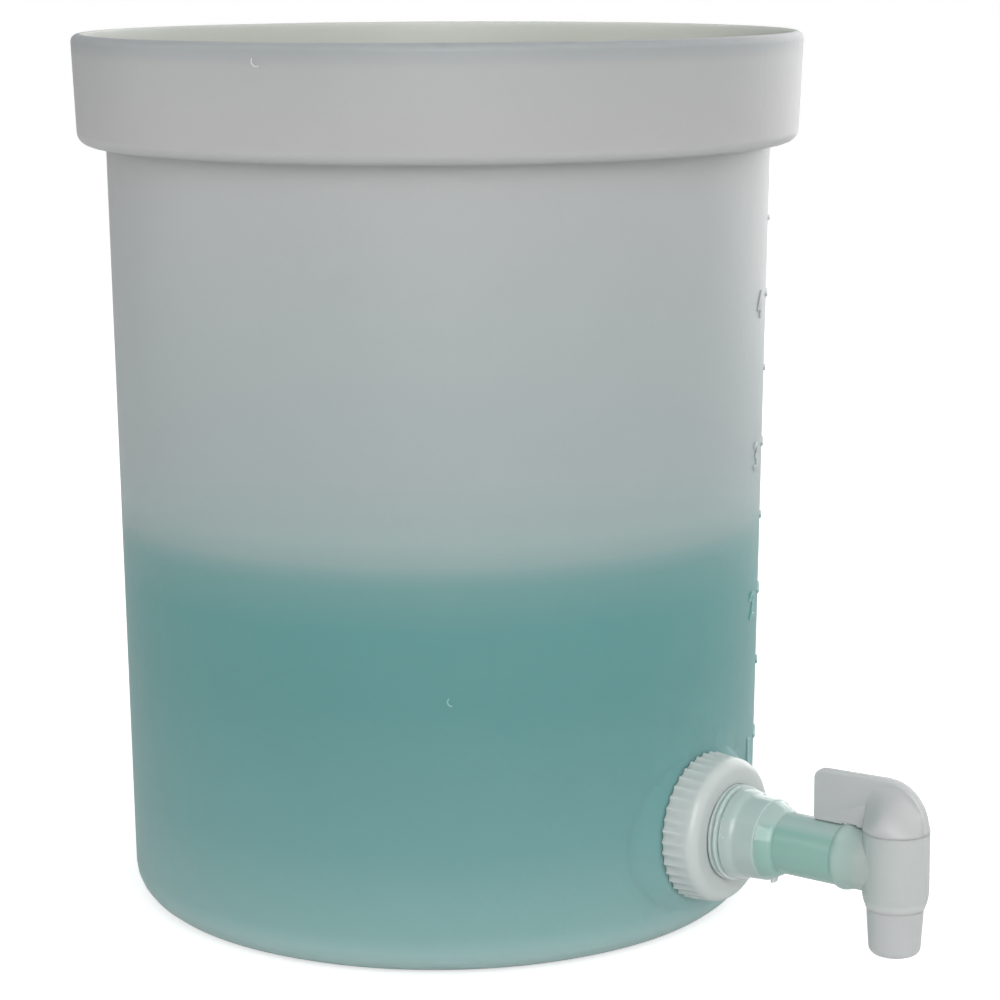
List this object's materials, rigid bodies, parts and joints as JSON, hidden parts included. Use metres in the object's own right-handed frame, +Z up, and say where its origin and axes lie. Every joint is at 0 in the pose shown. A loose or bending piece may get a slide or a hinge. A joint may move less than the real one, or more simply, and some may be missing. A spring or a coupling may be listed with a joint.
{
  "type": "tank with spigot",
  "caption": "Open translucent round laboratory tank with a wide rim band, part filled with liquid, and a screw-in plastic spigot with a blade handle near its base.",
  "frame": {"origin": "centre of the tank's flat base, on the surface it stands on", "axes": "+Z up along the tank's axis, +X from the tank's axis along the spigot"},
  "size_m": [0.2581, 0.2014, 0.242],
  "materials": {
    "natural_polyethylene": "moulded, milky translucent",
    "teal_solution": "clear tinted liquid",
    "spigot_plastic": "moulded, waxy translucent",
    "washer_plastic": "soft white",
    "valve_plastic": "moulded, waxy grey"
  },
  "bodies": {
    "tank_and_spigot": {"tank": "natural_polyethylene", "liquid": "teal_solution", "spigot_body": "spigot_plastic", "spigot_gasket": "washer_plastic", "spigot_nut": "spigot_plastic"},
    "valve": {"valve_plug": "valve_plastic"}
  },
  "joints": [
    {"name": "valve_turn", "type": "hinge", "parent": "tank_and_spigot", "child": "valve", "pos_m": [0.14836, 0, 0.031], "axis": [0, 0, 1], "continuous": true}
  ]
}
